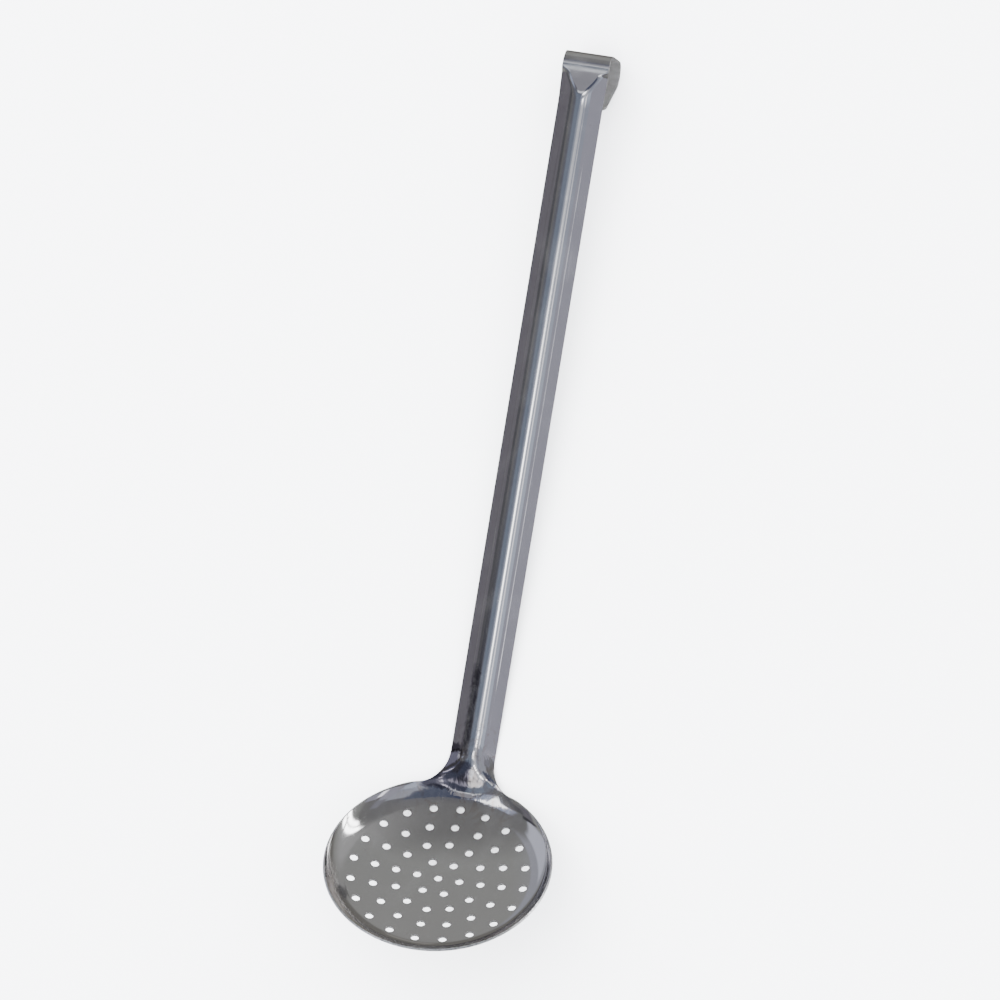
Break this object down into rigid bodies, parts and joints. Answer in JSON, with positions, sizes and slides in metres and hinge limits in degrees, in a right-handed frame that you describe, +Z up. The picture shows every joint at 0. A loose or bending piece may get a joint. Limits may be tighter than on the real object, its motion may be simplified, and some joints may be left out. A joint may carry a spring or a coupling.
{
  "type": "skimmer",
  "caption": "One-piece stamped steel skimmer: shallow round dish with punched drain holes, a blended neck, a ridged handle set up from the dish and a bent hanging hook.",
  "frame": {"origin": "centre of the bounding box at its base, on the surface the skimmer rests on", "axes": "+Y along the handle toward the hook, +Z up with the dish's hollow side up, X across; the skimmer lies on its back as it comes to rest, on the shoulders of its neck and the back of its hook"},
  "size_m": [0.12, 0.4818, 0.0836],
  "materials": {
    "steel": "polished stainless steel with fine lengthwise polishing lines"
  },
  "bodies": {
    "root": {"skimmer": "steel"}
  },
  "joints": []
}
